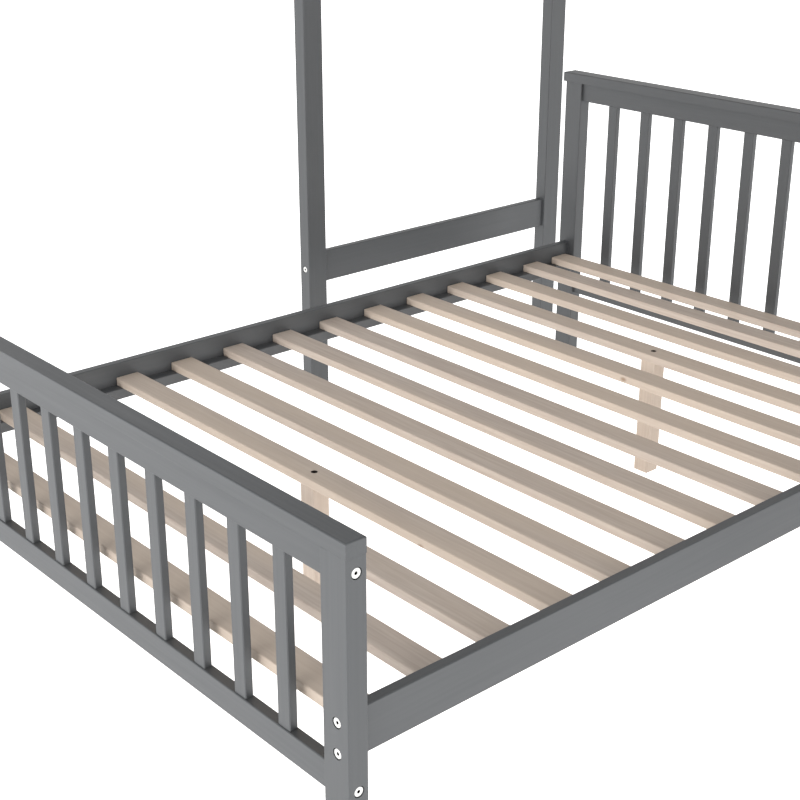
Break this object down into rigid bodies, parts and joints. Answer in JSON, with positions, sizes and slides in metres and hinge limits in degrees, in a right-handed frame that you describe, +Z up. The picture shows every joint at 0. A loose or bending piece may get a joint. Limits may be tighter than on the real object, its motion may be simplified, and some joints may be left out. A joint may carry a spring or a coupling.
{
  "type": "bunk bed",
  "caption": "L-shaped bunk bed in grey painted wood: a raised single bunk with guard rails and ladder crosses the head end of a wide slatted bed with spindle ends.",
  "frame": {"origin": "centre of the overall box, on the floor", "axes": "+X along the wide bed from foot to head, +Y from the ladder side to the far side, +Z up"},
  "size_m": [2.209, 2.071, 1.65],
  "materials": {
    "grey_painted_pine": "satin sprayed paint",
    "bare_pine": "planed, clear matt",
    "beech_dowel": "bare",
    "zinc_plated_steel": "bright zinc plate"
  },
  "bodies": {
    "upper_bunk": {"guard_rails_back": "grey_painted_pine", "guard_rails_front": "grey_painted_pine", "guard_uprights": "grey_painted_pine", "ladder_stile_back": "grey_painted_pine", "ladder_stile_front": "grey_painted_pine", "ladder_treads": "grey_painted_pine", "loft_cleats": "grey_painted_pine", "loft_dowels": "beech_dowel", "loft_end_rail_far": "grey_painted_pine", "loft_end_rail_near": "grey_painted_pine", "loft_end_spindles": "grey_painted_pine", "loft_low_rail_far": "grey_painted_pine", "loft_low_rail_near": "grey_painted_pine", "loft_post_back_far": "grey_painted_pine", "loft_post_back_near": "grey_painted_pine", "loft_post_front_far": "grey_painted_pine", "loft_post_front_near": "grey_painted_pine", "loft_screws": "zinc_plated_steel", "loft_side_rail_back": "grey_painted_pine", "loft_side_rail_front": "grey_painted_pine", "loft_slats": "bare_pine", "loft_top_rail_far": "grey_painted_pine", "loft_top_rail_near": "grey_painted_pine"},
    "lower_bed": {"bed_slat_01": "bare_pine", "bed_slat_02": "bare_pine", "bed_slat_03": "bare_pine", "bed_slat_04": "bare_pine", "bed_slat_05": "bare_pine", "bed_slat_06": "bare_pine", "bed_slat_07": "bare_pine", "bed_slat_08": "bare_pine", "bed_slat_09": "bare_pine", "bed_slat_10": "bare_pine", "bed_slat_11": "bare_pine", "bed_slat_12": "bare_pine", "bed_slat_13": "bare_pine", "bed_slat_14": "bare_pine", "centre_leg_foot": "bare_pine", "centre_leg_head": "bare_pine", "foot_cap_rail": "grey_painted_pine", "foot_lower_rail": "grey_painted_pine", "foot_post_far": "grey_painted_pine", "foot_post_near": "grey_painted_pine", "foot_spindles": "grey_painted_pine", "foot_upper_rail": "grey_painted_pine", "frame_dowels": "beech_dowel", "frame_screws": "zinc_plated_steel", "head_cap_rail": "grey_painted_pine", "head_lower_rail": "grey_painted_pine", "head_post_far": "grey_painted_pine", "head_post_near": "grey_painted_pine", "head_spindles": "grey_painted_pine", "head_upper_rail": "grey_painted_pine", "leg_screws": "zinc_plated_steel", "side_rail_far": "grey_painted_pine", "side_rail_near": "grey_painted_pine", "slat_cleat_far": "grey_painted_pine", "slat_cleat_near": "grey_painted_pine"}
  },
  "joints": [
    {"name": "lower_bed_pulls_out", "type": "slide", "parent": "upper_bunk", "child": "lower_bed", "axis": [-1, 0, 0], "range_m": [0, 0.9]}
  ]
}
